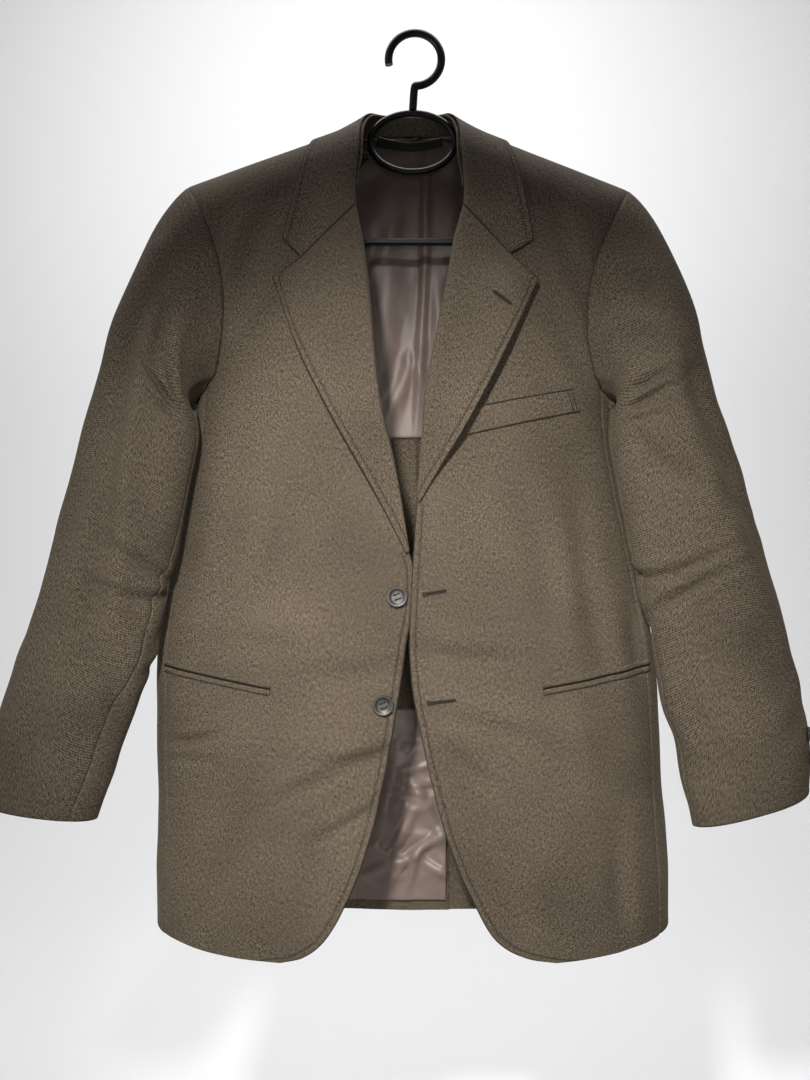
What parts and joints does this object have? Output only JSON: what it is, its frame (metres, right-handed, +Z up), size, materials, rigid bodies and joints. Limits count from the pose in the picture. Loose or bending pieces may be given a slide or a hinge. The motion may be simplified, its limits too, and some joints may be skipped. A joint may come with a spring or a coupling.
{
  "type": "blazer on hanger",
  "caption": "Unbuttoned single-breasted blazer with notch lapels, welt and jetted pockets and a centre vent, hanging on a moulded one-piece hanger.",
  "frame": {"origin": "inner top of the hanger's hook, where it rests on a rail", "axes": "+Z up, -Y the way the fronts face, +X the wearer's left"},
  "size_m": [0.8011, 0.1488, 0.9174],
  "materials": {
    "wool": "dark olive-brown worsted wool with a fine two-tone weave, matt with a faint sheen",
    "lining": "brown-mauve satin lining, softly shiny",
    "label": "bare dark woven label",
    "button": "dark grey-brown horn-like buttons, polished rim",
    "hanger": "black semi-gloss moulded plastic"
  },
  "bodies": {
    "root": {"front_left": "wool", "front_right": "wool", "side_panel_left": "wool", "side_panel_right": "wool", "back_left": "wool", "back_right": "wool", "sleeve_top_left": "wool", "sleeve_top_right": "wool", "sleeve_under_left": "wool", "sleeve_under_right": "wool", "collar_fall": "wool", "collar_stand": "wool", "lapel_left": "wool", "lapel_right": "wool", "breast_welt": "wool", "jet_upper_left": "wool", "jet_lower_left": "wool", "jet_upper_right": "wool", "jet_lower_right": "wool", "lining_upper": "lining", "lining_lower": "lining", "label": "label", "button_front_upper": "button", "button_front_lower": "button", "button_cuff_left_1": "button", "button_cuff_left_2": "button", "button_cuff_right_1": "button", "button_cuff_right_2": "button", "hanger_hook": "hanger", "hanger_ring": "hanger", "hanger_arm_left": "hanger", "hanger_arm_right": "hanger", "hanger_bar": "hanger"}
  },
  "joints": []
}
